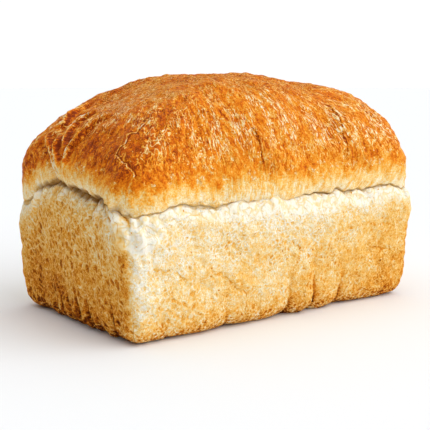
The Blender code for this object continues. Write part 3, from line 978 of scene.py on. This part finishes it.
class Crust:
    """The crust's material being built: what each layer adds to the bake, painted shade included,
    and the bumps.

    A bake level of 0 is bare crumb and 1 the darkest crust; painted shade in the creases,
    pits and the break raises it too. Bump heights are in millimetres.
    """

    def __init__(self, build):
        self.build = build
        self.place, self.flow = self.read("place", "Vector"), self.read("flow", "Vector")
        self.above, self.crown = self.read("above"), self.read("crown")
        self.coarse = self.read("coarse")
        self.smooth = build.math("SUBTRACT", 1.0, self.coarse)
        self.fine = build.off(self.place, 0.0009, 2.0, 0.6)
        self.grain = build.off(self.flow, 0.0015, 3.0, 0.6)

    def read(self, name, output="Fac"):
        """Read one of the piece's own attributes."""
        return self.build.add("ShaderNodeAttribute", attribute_name=name).outputs[output]

    def line(self, name, width, shift=0.0, wobble=2.0):
        """Draw a wobbly line along a kind of route, this wide to each side in millimetres."""
        build = self.build
        parts = build.add("ShaderNodeSeparateXYZ", {0: self.read(name, "Vector")}).outputs
        distance = build.total(parts[0], (build.off(self.place, 0.0022), wobble))
        away = build.math("ABSOLUTE", build.math("SUBTRACT", distance, shift))
        return build.product(build.spread(away, width, 0.25 * width), parts[1])

    def crown_layer(self):
        """Give the bake, with painted shade at its marks, and the bumps of the crown."""
        build = self.build
        streaks = build.off(self.flow, 0.0028, 3.0, 0.6)
        level = profile(build, build.total(self.above, (streaks, 10.0)), CROWN_BAKE)
        baked = build.spread(self.above, 6.0, 16.0)
        patchy = build.total(self.read("fleck"), (build.off(self.place, 0.0065), 2.4))
        patchy = build.product(build.spread(patchy, 0.10, 0.60), baked)
        curl = build.ridges(self.flow, 0.0012, 2.0, 0.9, 0.91, 0.975)
        thin = build.ridges(self.place, 0.0011, 1.0, 1.2, 0.88, 0.96)
        drawn = build.vector("MULTIPLY", self.flow, DRAWN_OUT)
        strand = build.ridges(drawn, 0.0012, 1.0, 0.5, 0.88, 0.965)
        stretch = build.spread(build.noise(drawn, 0.0050, 1.0), 0.36, 0.54)
        top = build.mix(build.spread(self.above, 44.0, 60.0), 1.0, 0.75)
        upper = build.product(build.spread(self.above, 12.0, 36.0), top)
        broken = build.spread(build.noise(self.place, 0.0019, 1.0), 0.40, 0.58)
        fleck = build.product(build.larger(curl, build.product(thin, 0.8)), patchy, broken)
        fleck = build.product(fleck, build.math("MULTIPLY_ADD", upper, -0.4, 1.0))
        fleck = build.larger(fleck, build.product(strand, stretch, upper))
        spot = build.product(build.pores(self.place, 0.0024, -0.24, 0.24), baked)
        # Painted shade: darker in the wrinkles, the folds' gutters, the tears and beside the
        # zigzag. The fold crests and the zigzag's edge are paler: stretched crust, partly painted
        # highlight.
        wrinkle = build.product(wrinkles(build, self.place, self.flow), baked)
        dark = self.line("zigzag", 0.6, 0.9, 1.0)
        dark = build.larger(self.line("tear", 0.6, 0.0, 1.2), dark)
        pale = build.product(self.line("fold", 0.8), 0.8)
        pale = build.larger(self.line("zigzag", 0.45, 0.0, 1.6), pale)
        gutter = build.larger(self.line("fold", 1.3, 2.2), self.line("fold", 1.3, -2.2))
        level = build.total(
            level,
            (build.off(self.place, 0.014), 0.24),
            (build.off(self.place, 0.0045), 0.12),
            (self.grain, 0.92),
            (self.fine, 0.78),
            (fleck, -0.56),
            (spot, -0.55),
            (wrinkle, 0.12),
            (dark, 0.34),
            (pale, -0.46),
            (gutter, 0.26),
        )
        bumps = build.total(
            build.product(self.grain, 1.5),
            (self.fine, 0.6),
            (fleck, 0.24),
            (spot, 0.20),
            (wrinkle, -0.45),
            (dark, -0.25),
            (pale, 0.35),
        )
        return level, bumps

    def bare_part(self, below):
        """Say where the dough is bare: right under the break, and in the torn patch."""
        build = self.build
        uneven = build.off(self.place, 0.006)
        torn = build.spread(build.total(self.read("fluffy"), (uneven, 1.0)), 0.35, 0.55)
        return build.larger(build.spread(below, 9.5, 5.5), torn)

    def torn_dough(self):
        """Give the bake, painted shade included, and the bumps of bare, torn dough."""
        build = self.build
        crease = build.ridges(self.place, 0.0050, 1.0, 0.4, 0.80, 0.99)
        pit = build.pores(build.warp(self.place, 0.0020, 0.0016), 0.0028, -0.20, 0.30)
        fluff = build.off(self.place, 0.0016, 3.0, 0.6)
        # Painted shade: darker in the creases between the lumps and in the pits.
        level = build.total(
            build.product(self.grain, 0.30),
            (fluff, 0.24),
            (crease, 0.18),
            (pit, 0.46),
        )
        bumps = build.total(
            build.product(fluff, 1.2),
            (crease, -0.25),
            (pit, -0.35),
            (self.grain, 0.8),
        )
        return level, bumps

    def wall_layer(self):
        """Give the bake, painted shade included, and the bumps of the tin's part of the crust."""
        build = self.build
        ragged = build.off(self.flow, 0.0035, 3.0, 0.6)
        below = build.total(build.product(self.above, -1.0), (ragged, 14.0))
        height = build.add("ShaderNodeSeparateXYZ", {0: self.place}).outputs[2]
        ragged = build.off(self.place, 0.004)
        height = build.total(build.product(height, 1 / MM), (ragged, 9.0))
        foot = profile(build, height, FOOT_BAKE)
        crumb_place = build.warp(self.place, 0.0034, 0.0026)
        edge, _ = build.cells(crumb_place, 0.0026, "DISTANCE_TO_EDGE")
        _, draw = build.cells(crumb_place, 0.0026)
        rim = build.spread(edge, 0.17, 0.02)
        hole = build.product(build.spread(edge, 0.12, 0.40), build.spread(draw, 0.30, 0.75))
        thread = build.ridges(self.place, 0.0030, 2.0, 1.2, 0.86, 0.97)
        crumbly = build.spread(build.noise(self.place, 0.010, 2.0), 0.36, 0.60)
        rim = build.product(rim, crumbly, self.smooth)
        hole = build.product(hole, crumbly, self.smooth)
        coarse, ledge = hollows(build, self.place)
        coarse, ledge = build.product(coarse, self.coarse), build.product(ledge, self.coarse)
        pore = build.pores(build.warp(self.place, 0.0014, 0.0012), 0.0027, -0.35, 0.26)
        pore = build.product(pore, build.math("MULTIPLY_ADD", self.smooth, 0.6, 0.4))
        # Darker in the holes, hollows and pores: partly their baked tan, partly painted shade in
        # these recesses.
        texture = build.total(
            profile(build, below, WALL_BAKE),
            (foot, 1.0),
            (build.off(self.place, 0.011, 3.0, 0.6), 0.50),
            (build.off(self.place, 0.0040), 0.35),
            (self.fine, 0.62),
            (build.off(self.place, 0.0017), 0.42),
            (rim, -0.16),
            (thread, -0.13),
            (hole, 0.19),
            (coarse, 0.22),
            (ledge, -0.15),
            (pore, 0.32),
            (build.product(foot, build.off(self.place, 0.0016)), 10.0),
        )
        bumps = build.total(
            build.product(self.fine, 0.6),
            (build.off(self.place, 0.0017), -0.7),
            (rim, 0.18),
            (thread, 0.16),
            (hole, -0.22),
            (coarse, -0.50),
            (ledge, 0.22),
            (pore, -0.40),
        )
        bare = self.bare_part(below)
        torn_level, torn_bumps = self.torn_dough()
        level = build.mix(bare, texture, torn_level)
        bumps = build.mix(bare, bumps, torn_bumps)
        # Painted shade: darker in the cracks, the grooves and the pinches between cords and lobes,
        # and on the flanks beside them.
        crack = build.product(self.line("crack", 0.7), 0.5)
        groove = self.line("groove", 0.9, 0.0, 1.0)
        pinch = build.larger(self.line("pleat", 0.9, 0.0, 2.6), self.line("lobe", 1.6))
        crease = build.larger(build.larger(crack, groove), pinch)
        flank = build.larger(self.line("pleat", 2.6, 0.0, 2.6), self.line("groove", 2.4))
        flank = build.larger(flank, self.line("lobe", 3.4))
        level = build.total(level, (crease, 0.34), (flank, 0.20))
        return level, build.total(bumps, (crease, -0.5))


def crust_material(colours):
    """Make the crust's material: layers of bake and painted shade turned to colour, and fine
    bumps.
    """
    material = bpy.data.materials.new("Baked Crust")
    material.use_nodes = True
    material.node_tree.nodes.clear()
    build = Tree(material.node_tree)
    crust = Crust(build)
    crown_level, crown_bumps = crust.crown_layer()
    wall_level, wall_bumps = crust.wall_layer()
    level = build.mix(crust.crown, wall_level, crown_level)
    bumps = build.mix(crust.crown, wall_bumps, crown_bumps)
    # Painted shade along the break's notch: a thin darker line all round, and a wide band of the
    # crevice colour where the dough folded in most.
    ragged = build.total(crust.above, (build.off(crust.place, 0.004), 1.6))
    away = build.math("ABSOLUTE", ragged)
    valley = build.product(crust.read("valley"), build.spread(away, 3.0, 0.6))
    level = build.total(level, (crust.read("bake"), 1.0), (build.spread(away, 1.0, 0.3), 0.10))
    notch = build.product(build.spread(away, 0.9, 0.3), 0.45)
    shaded = build.larger(build.product(valley, 0.80), notch)

    body = bake_ramp(build, level, colours.body_bake)
    crown = bake_ramp(build, level, colours.crown_bake)
    mixed = build.mix_colour(crust.crown, body, crown)
    mixed = build.mix_colour(shaded, mixed, (*colours.crevice, 1.0))
    bump = build.add("ShaderNodeBump", {"Height": bumps, "Strength": 1.0, "Distance": MM})
    smoother = CROWN_ROUGHNESS - WALL_ROUGHNESS
    shader = build.add(
        "ShaderNodeBsdfPrincipled",
        {
            "Base Color": mixed,
            "Roughness": build.math("MULTIPLY_ADD", crust.crown, smoother, WALL_ROUGHNESS),
            "Normal": bump.outputs["Normal"],
            **CRUST_OPTICS,
        },
    )
    build.add("ShaderNodeOutputMaterial", {"Surface": shader.outputs["BSDF"]})
    return material


def srgb(red, green, blue):
    """Turn a colour's 0 to 255 screen values into linear light."""
    channels = [value / 255 for value in (red, green, blue)]
    return tuple(c / 12.92 if c <= 0.04045 else ((c + 0.055) / 1.055) ** 2.4 for c in channels)


BODY_STOPS = (
    ("Crumb", srgb(252, 245, 229)),
    ("Cream", srgb(247, 222, 168)),
    ("Pale Gold", srgb(244, 193, 102)),
    ("Tan", srgb(228, 150, 42)),
    ("Brown", srgb(188, 98, 14)),
    ("Dark", srgb(96, 44, 10)),
)
CROWN_STOPS = (
    ("Crumb", srgb(252, 238, 208)),
    ("Cream", srgb(246, 212, 142)),
    ("Pale Gold", srgb(243, 176, 66)),
    ("Orange", srgb(232, 134, 14)),
    ("Brown", srgb(202, 92, 4)),
    ("Dark", srgb(136, 52, 4)),
)


def colour_stop(label, colour):
    """Make the property of one stop of a bake."""
    return FloatVectorProperty(
        name=label,
        description=f"Colour of the crust where it is {label.lower()}",
        subtype="COLOR",
        size=3,
        min=0.0,
        max=1.0,
        default=colour,
    )


def length(label, description, default):
    """Make the property of a length."""
    return FloatProperty(
        name=label, description=description, default=default, unit="LENGTH", precision=5
    )


def ratio(label, description, default):
    """Make the property of a plain number."""
    return FloatProperty(name=label, description=description, default=default, precision=3)


def angle(label, description, degrees):
    """Make the property of an angle."""
    return FloatProperty(
        name=label, description=description, default=math.radians(degrees), subtype="ANGLE"
    )


class TinLoafForm(bpy.types.PropertyGroup):
    """Sizes of the loaf's form."""

    half_length: length("Half Length", "Half the loaf's length at the tin's rim", 0.107)
    half_width: length("Half Width", "Half the loaf's width at the tin's rim", 0.0644)
    tin_corner: length("Tin Corner", "Radius of the tin's upright corners", 0.0125)
    smallest_corner: length("Smallest Corner", "Least radius of a corner at the foot", 0.003)
    taper: length("Taper", "How far the wall leans in from rim to foot", 0.0053)
    belly: length("Belly", "How far the wall bulges halfway up", 0.0015)
    foot_round: length("Foot Round", "Radius of the edge round the base", 0.0095)
    crown_base: length("Crown Base", "Height where the crown is widest", 0.0796)
    crown_rise: length("Crown Rise", "Height of the crown above its base", 0.060)
    crown_corner: length("Crown Corner", "Radius of the crown's corners", 0.0215)
    crown_out: length("Crown Out", "How far the crown stands out past the rim", 0.0006)
    crown_shift: length("Crown Shift", "How far the peak lies right of the middle", 0.019)
    crown_fullness: ratio("Crown Fullness", "How square the crown's shoulders are", 2.24)
    crown_sharpness: ratio("Crown Sharpness", "How steeply the crown leaves its lip", 1.98)
    crown_squeeze: ratio("Crown Squeeze", "How the crown narrows towards its peak", 0.96)
    crown_tilt: ratio("Crown Tilt", "Slope of the crown from left to right", -0.115)
    crown_squareness: ratio("Crown Squareness", "How soon the crown's corners round off", 0.333)
    lip_squareness: ratio("Lip Squareness", "How square the lip is; at 2 it is an ellipse", 2.7)


class TinLoafRelief(bpy.types.PropertyGroup):
    """Sizes of the crust's relief."""

    fold_height: length("Fold Height", "Height of the folds down the crown's end", 0.0024)
    fold_width: length("Fold Width", "Half width of those folds", 0.0021)
    tear_height: length("Tear Height", "How far a tear's far side stands up", 0.0012)
    zigzag_height: length("Zigzag Height", "Height of the zigzag fold above the corner", 0.0006)
    groove_depth: length("Groove Depth", "Depth of the grooves beside the corner's roll", 0.0022)
    roll_height: length("Roll Height", "Height of that roll", 0.0024)
    crack_depth: length("Crack Depth", "Depth of the cracks in the wall", 0.0006)
    lobe_share: ratio("Lobe Share", "Height of the foot's lobes as a share of their width", 0.42)
    cord_share: ratio("Cord Share", "Height of the break's cords as a share of their width", 0.75)
    shoulder_sink: length("Shoulder Sink", "How far the crown sinks left of its peak", 0.0022)
    lump_height: length("Lump Height", "Height of the torn dough's lumps", 0.0008)
    hollow_depth: length("Hollow Depth", "Depth of the end walls' hollows", 0.0004)
    wrinkle_depth: length("Wrinkle Depth", "Depth of the wrinkles down the crown", 0.0005)
    grain_spacing: length("Grain Spacing", "Distance between the crust's grains", 0.0042)
    grain_height: length("Grain Height", "Height of the grains", 0.0008)
    fibre_spacing: length("Fibre Spacing", "Distance between fibres in the break", 0.0034)
    fibre_height: length("Fibre Height", "Height of the fibres", 0.0016)


class TinLoafBakeStop(bpy.types.PropertyGroup):
    """One colour of a bake, from pale to dark."""

    colour: colour_stop("Stop", (0.5, 0.5, 0.5))


class TinLoafColours(bpy.types.PropertyGroup):
    """The bakes of the body and the crown, and the colour of the painted shade at the break."""

    body_bake: CollectionProperty(
        type=TinLoafBakeStop, name="Body Bake", description="Body, pale to dark"
    )
    crown_bake: CollectionProperty(
        type=TinLoafBakeStop, name="Crown Bake", description="Crown, pale to dark"
    )
    # Painted shade: the colour mixed in along the break's notch.
    crevice: colour_stop("Shaded by the Break", srgb(156, 108, 46))


class TinLoafStudio(bpy.types.PropertyGroup):
    """The camera and the light."""

    camera_azimuth: angle("Camera Azimuth", "How far the camera stands to the left", 37.576)
    camera_pitch: angle("Camera Pitch", "How far the camera looks down", 8.868)
    camera_distance: length("Camera Distance", "From the camera to the point it looks at", 0.58355)
    camera_target: FloatVectorProperty(
        name="Camera Target",
        description="The point the camera looks at",
        subtype="XYZ",
        unit="LENGTH",
        default=(-0.00311, 0.00107, 0.05283),
    )
    lens: ratio("Lens", "Focal length in millimetres", 79.7)
    key_strength: ratio("Key Strength", "Strength of the soft key light", 1.60)
    overhead: ratio("Overhead", "Strength of the light from above", 0.95)
    surround: ratio("Surround", "Strength of the light from the sides", 0.25)


def set_attribute(mesh, name, values):
    """Store a number or a vector for each point of the mesh."""
    kind, field = ("FLOAT_VECTOR", "vector") if values.ndim == 2 else ("FLOAT", "value")
    attribute = mesh.attributes.new(name, kind, "POINT")
    attribute.data.foreach_set(field, values.astype(np.float32).ravel())


def set_points(mesh, points):
    """Move the mesh's points, none of them below the floor."""
    points = np.maximum(points, (-np.inf, -np.inf, 0))
    mesh.vertices.foreach_set("co", points.astype(np.float32).ravel())
    mesh.update()


def get_points(mesh, what="co"):
    """Read the mesh's points or normals."""
    values = np.empty(len(mesh.vertices) * 3, np.float32)
    mesh.vertices.foreach_get(what, values)
    return values.reshape(-1, 3).astype(float)


def join_base(mesh, inner):
    """Make the middle of the flat base one face."""
    work = bmesh.new()
    work.from_mesh(mesh)
    faces = [face for face in work.faces if all(inner[v.index] for v in face.verts)]
    bmesh.ops.dissolve_faces(work, faces=faces, use_verts=True)
    work.to_mesh(mesh)
    work.free()


def point_fields(form, dough, lines):
    """Give what the texture tree and the material read at each point, by name."""
    end = smooth_step(0.0, 0.14, np.abs(dough.p) - np.abs(dough.q))
    wall = 1 - dough.crown
    more_flecks = (amount * dough.near(centre, reach) for centre, reach, amount in FLECK_PATCHES)
    fields = {
        "place": dough.place,
        "flow": flow_coordinates(form, dough),
        "above": dough.above_notch / MM,
        "crown": dough.crown,
        "bake": add_bake_and_painted_light(form, dough),
        "fleck": FLECKS + sum(more_flecks),
        "fluffy": dough.near(*FLUFFY_PATCH) * wall,
        "coarse": np.maximum(end, PITTED_SHARE * dough.near(*PITTED_PATCH)) * wall,
        "valley": valley_at(dough.turns),
    }
    for name, (distance, there) in lines.items():
        distance = np.clip(distance / MM, -FARTHEST_LINE, FARTHEST_LINE)
        fields[name] = np.stack([distance, there, 0 * there], 1)
    return fields


class TINLOAF_OT_crust(bpy.types.Operator):
    """Bake the loaf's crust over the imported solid."""

    bl_idname = "tinloaf.crust"
    bl_label = "Bake Crust"

    def execute(self, context):
        form, relief = context.scene.tin_loaf_form, context.scene.tin_loaf_relief
        piece = bpy.data.objects.new(PIECE, bpy.data.meshes.new(PIECE))
        context.scene.collection.objects.link(piece)
        counts = (COLUMNS_ALONG, COLUMNS_ACROSS, ROW_COUNT)
        apply_tree(piece, cut_cube_tree(), dict(zip(CUBE_COUNTS, counts)))
        dough = Dough(form, get_points(piece.data))
        set_points(piece.data, dough.place)
        normals = get_points(piece.data, "normal")
        normals[dough.on_base, 2] = 0
        lines = read_lines(form, dough, normals)
        height = add_relief(form, relief, dough, normals, lines)
        set_points(piece.data, dough.place + height[:, None] * normals)
        for name, values in point_fields(form, dough, lines).items():
            set_attribute(piece.data, name, values)
        join_base(piece.data, dough.on_base & (dough.ring < BASE_RIM))
        piece.data.shade_smooth()
        values = {label_of(name): getattr(relief, name) for name in TEXTURE_SIZES}
        values["Material"] = crust_material(context.scene.tin_loaf_colours)
        apply_tree(piece, crust_texture_tree(), values)
        set_points(piece.data, get_points(piece.data))
        piece.data.name = PIECE
        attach(piece, BODY)
        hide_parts(NODE)
        return {"FINISHED"}


class TINLOAF_OT_studio(bpy.types.Operator):
    """Set the floor, the light and the camera."""

    bl_idname = "tinloaf.studio"
    bl_label = "Set Studio"

    def execute(self, context):
        studio = context.scene.tin_loaf_studio
        context.scene.view_settings.view_transform = "Standard"
        self.add_floor(context)
        self.add_world(context, studio)
        self.add_key(context, studio)
        self.add_camera(context, studio)
        return {"FINISHED"}

    def add_floor(self, context):
        """Lay the white floor."""
        bpy.ops.mesh.primitive_circle_add(vertices=64, radius=FLOOR_RADIUS, fill_type="NGON")
        floor = context.object
        floor.name = "studio_floor"
        material = bpy.data.materials.new("White Floor")
        material.use_nodes = True
        shader = material.node_tree.nodes["Principled BSDF"]
        shader.inputs["Base Color"].default_value = FLOOR_COLOUR
        shader.inputs["Roughness"].default_value = 1.0
        shader.inputs["Specular IOR Level"].default_value = 0.0
        floor.data.materials.append(material)

    def add_world(self, context, studio):
        """Light the studio from above, and put a white band round its horizon."""
        world = bpy.data.worlds.new("Studio")
        context.scene.world = world
        world.use_nodes = True
        world.node_tree.nodes.clear()
        build = Tree(world.node_tree)
        way = build.add("ShaderNodeTexCoord").outputs["Generated"]
        across, _, up = build.add("ShaderNodeSeparateXYZ", {0: way}).outputs
        horizon = build.spread(up, 0.16, 0.07)
        overhead = build.product(build.spread(up, 0.15, 1.0), studio.overhead)
        rightward = build.math("MULTIPLY_ADD", across, RIGHTWARD_STRENGTH, studio.surround)
        sky = build.math("ADD", overhead, rightward)
        inputs = {"Color": (1, 1, 1, 1), "Strength": build.mix(horizon, sky, HORIZON_STRENGTH)}
        background = build.add("ShaderNodeBackground", inputs)
        build.add("ShaderNodeOutputWorld", {"Surface": background.outputs[0]})

    def add_key(self, context, studio):
        """Hang the soft key light, up and to the right of the loaf's front."""
        light = bpy.data.lights.new("key", "SUN")
        light.angle = KEY_ANGLE
        light.energy = studio.key_strength
        key = bpy.data.objects.new("key", light)
        context.scene.collection.objects.link(key)
        key.rotation_euler = Vector(KEY_DIRECTION).to_track_quat("-Z", "Y").to_euler()

    def add_camera(self, context, studio):
        """Stand the camera where the photograph was taken."""
        data = bpy.data.cameras.new("camera")
        data.lens = studio.lens
        data.sensor_width = 36.0
        data.clip_start = 0.01
        camera = bpy.data.objects.new("camera", data)
        context.scene.collection.objects.link(camera)
        azimuth, pitch = -studio.camera_azimuth, studio.camera_pitch
        level = math.cos(pitch)
        back = Vector((math.sin(azimuth) * level, -math.cos(azimuth) * level, math.sin(pitch)))
        camera.location = Vector(studio.camera_target) + studio.camera_distance * back
        camera.rotation_euler = (-back).to_track_quat("-Z", "Y").to_euler()
        context.scene.camera = camera


class TINLOAF_PT_panel(bpy.types.Panel):
    """Tin Loaf: its sizes and its two steps."""

    bl_idname = "TINLOAF_PT_panel"
    bl_label = "Tin Loaf"
    bl_space_type = "VIEW_3D"
    bl_region_type = "UI"
    bl_category = "Tin Loaf"

    def draw(self, context):
        for settings in ("tin_loaf_form", "tin_loaf_relief", "tin_loaf_studio"):
            group = getattr(context.scene, settings)
            for name in group.__annotations__:
                self.layout.prop(group, name)
        for operator in (TINLOAF_OT_crust, TINLOAF_OT_studio):
            self.layout.operator(operator.bl_idname)


CLASSES = (
    TinLoafForm,
    TinLoafRelief,
    TinLoafBakeStop,
    TinLoafColours,
    TinLoafStudio,
    TINLOAF_OT_crust,
    TINLOAF_OT_studio,
    TINLOAF_PT_panel,
)


SETTINGS = {
    "tin_loaf_form": TinLoafForm,
    "tin_loaf_relief": TinLoafRelief,
    "tin_loaf_colours": TinLoafColours,
    "tin_loaf_studio": TinLoafStudio,
}


def register():
    """Register the classes and hang their settings on the scene."""
    for each in CLASSES:
        bpy.utils.register_class(each)
    for name, group in SETTINGS.items():
        setattr(bpy.types.Scene, name, PointerProperty(type=group))


def unregister():
    """Take the settings and the classes away again."""
    for name in SETTINGS:
        delattr(bpy.types.Scene, name)
    for each in reversed(CLASSES):
        bpy.utils.unregister_class(each)


def fill_colours(colours):
    """Put the bakes' colours in the settings."""
    for bake, stops in ((colours.body_bake, BODY_STOPS), (colours.crown_bake, CROWN_STOPS)):
        for label, colour in stops:
            stop = bake.add()
            stop.name = label
            stop.colour = colour


def main():
    """Bake the loaf and set the studio."""
    register()
    fill_colours(bpy.context.scene.tin_loaf_colours)
    bpy.ops.tinloaf.crust()
    bpy.ops.tinloaf.studio()
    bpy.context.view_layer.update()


if __name__ == "__main__":
    main()
